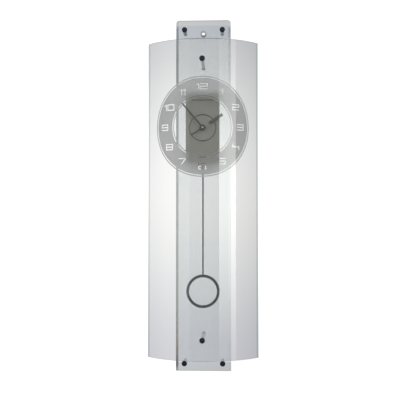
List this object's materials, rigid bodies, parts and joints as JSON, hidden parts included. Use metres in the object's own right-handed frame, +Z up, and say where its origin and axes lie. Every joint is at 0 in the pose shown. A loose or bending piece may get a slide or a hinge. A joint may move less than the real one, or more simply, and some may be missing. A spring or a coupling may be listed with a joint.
{
  "type": "glass wall clock",
  "caption": "Tall wall clock: flat glass rear plate, bent glass front on pillars with a frosted printed dial, battery movement between them, bar hands and a ring pendulum.",
  "frame": {"origin": "on the axis of the hanging hole, in the plane of the rear plate's back face", "axes": "+X to the viewer's right, +Y towards the wall, +Z up along the plate"},
  "size_m": [0.184, 0.1, 0.6],
  "materials": {
    "clear_glass": "gloss",
    "satin_print": "satin",
    "black_cap": "gloss",
    "black_metal": "satin",
    "clear_washer": "satin",
    "soft_pad": "matte",
    "pillar_metal": "satin",
    "screw_steel": "satin",
    "case_plastic": "satin",
    "clip_plastic": "satin",
    "soft_black": "matte",
    "brass": "satin",
    "gear_plastic": "satin",
    "grey_plastic": "satin",
    "ferrite": "matte",
    "lamination": "satin",
    "copper_coil": "satin",
    "board_green": "satin",
    "can_metal": "polished",
    "battery_wrap": "gloss",
    "hand_black": "satin",
    "pendulum_metal": "satin",
    "rod_metal": "satin"
  },
  "bodies": {
    "clock_body": {"rear_plate": "clear_glass", "front_glass": "clear_glass", "dial_print": "satin_print", "hanging_eyelet": "black_metal", "corner_standoffs": "black_metal", "wall_pads": "soft_pad", "corner_washers": "clear_washer", "pillar_washers": "clear_washer", "corner_cap_screws": "black_cap", "front_cap_screws": "black_cap", "front_pillars": "pillar_metal", "pillar_rear_screws": "screw_steel", "movement_front_case": "case_plastic", "movement_rear_cover": "case_plastic", "face_clips": "clip_plastic", "spacer_ring": "soft_black", "threaded_bush": "grey_plastic", "movement_posts": "pillar_metal", "mount_washers": "clear_washer", "movement_screws": "screw_steel", "front_train_plate": "gear_plastic", "rear_train_plate": "gear_plastic", "plate_posts": "brass", "plate_screws": "screw_steel", "stator": "lamination", "coil_core": "lamination", "motor_coil": "copper_coil", "circuit_board": "board_green", "circuit_chip": "grey_plastic", "quartz_crystal": "can_metal", "battery": "battery_wrap", "battery_contacts": "screw_steel", "drive_coil": "copper_coil", "pendulum_pin": "screw_steel"},
    "minute_group": {"minute_arbor": "brass", "minute_hand": "hand_black", "hub_cap": "hand_black", "hub_pin": "can_metal"},
    "hour_group": {"hour_wheel": "gear_plastic", "hour_hand": "hand_black"},
    "motion_group": {"motion_wheel": "gear_plastic"},
    "setting_group": {"setting_pinion": "gear_plastic", "setting_knob": "grey_plastic"},
    "centre_wheel": {"centre_wheel": "brass"},
    "third_wheel": {"third_wheel": "brass"},
    "fourth_wheel": {"fourth_wheel": "gear_plastic"},
    "fifth_wheel": {"fifth_wheel": "gear_plastic"},
    "rotor": {"rotor_pinion": "gear_plastic", "rotor_magnet": "ferrite"},
    "pendulum": {"pendulum_lever": "clip_plastic", "lever_magnet": "ferrite", "rod_pin": "screw_steel", "pendulum_rod": "rod_metal", "pendulum_ring": "pendulum_metal"}
  },
  "joints": [
    {"name": "minute_turn", "type": "hinge", "parent": "clock_body", "child": "minute_group", "pos_m": [0, -0.0432, -0.1685], "axis": [0, 1, 0], "continuous": true},
    {"name": "hour_turn", "type": "hinge", "parent": "clock_body", "child": "hour_group", "pos_m": [0, -0.049, -0.1685], "axis": [0, 1, 0], "continuous": true},
    {"name": "motion_turn", "type": "hinge", "parent": "clock_body", "child": "motion_group", "pos_m": [0.00849, -0.0455, -0.16001], "axis": [0, 1, 0], "continuous": true},
    {"name": "setting_turn", "type": "hinge", "parent": "clock_body", "child": "setting_group", "pos_m": [0.01697, -0.0345, -0.15153], "axis": [0, 1, 0], "continuous": true},
    {"name": "fourth_turn", "type": "hinge", "parent": "clock_body", "child": "fourth_wheel", "pos_m": [-0.01702, -0.0385, -0.18301], "axis": [0, 1, 0], "continuous": true},
    {"name": "fifth_turn", "type": "hinge", "parent": "clock_body", "child": "fifth_wheel", "pos_m": [-0.00913, -0.0385, -0.18588], "axis": [0, 1, 0], "continuous": true},
    {"name": "rotor_turn", "type": "hinge", "parent": "clock_body", "child": "rotor", "pos_m": [-0.00115, -0.0385, -0.18729], "axis": [0, 1, 0], "continuous": true},
    {"name": "third_turn", "type": "hinge", "parent": "clock_body", "child": "third_wheel", "pos_m": [-0.01353, -0.0385, -0.17343], "axis": [0, 1, 0], "continuous": true},
    {"name": "centre_turn", "type": "hinge", "parent": "clock_body", "child": "centre_wheel", "pos_m": [0, -0.0415, -0.1685], "axis": [0, 1, 0], "continuous": true},
    {"name": "pendulum_swing", "type": "hinge", "parent": "clock_body", "child": "pendulum", "pos_m": [0, -0.0303, -0.2105], "axis": [0, 1, 0], "range_deg": [-6, 6]}
  ],
  "couplings": [
    {"joint": "hour_turn", "follows": "minute_turn", "ratio": 0.083333},
    {"joint": "motion_turn", "follows": "minute_turn", "ratio": -0.33333},
    {"joint": "setting_turn", "follows": "minute_turn", "ratio": 1},
    {"joint": "fifth_turn", "follows": "fourth_turn", "ratio": -6},
    {"joint": "rotor_turn", "follows": "fourth_turn", "ratio": 30},
    {"joint": "third_turn", "follows": "fourth_turn", "ratio": -0.13333},
    {"joint": "centre_turn", "follows": "fourth_turn", "ratio": 0.016667}
  ]
}
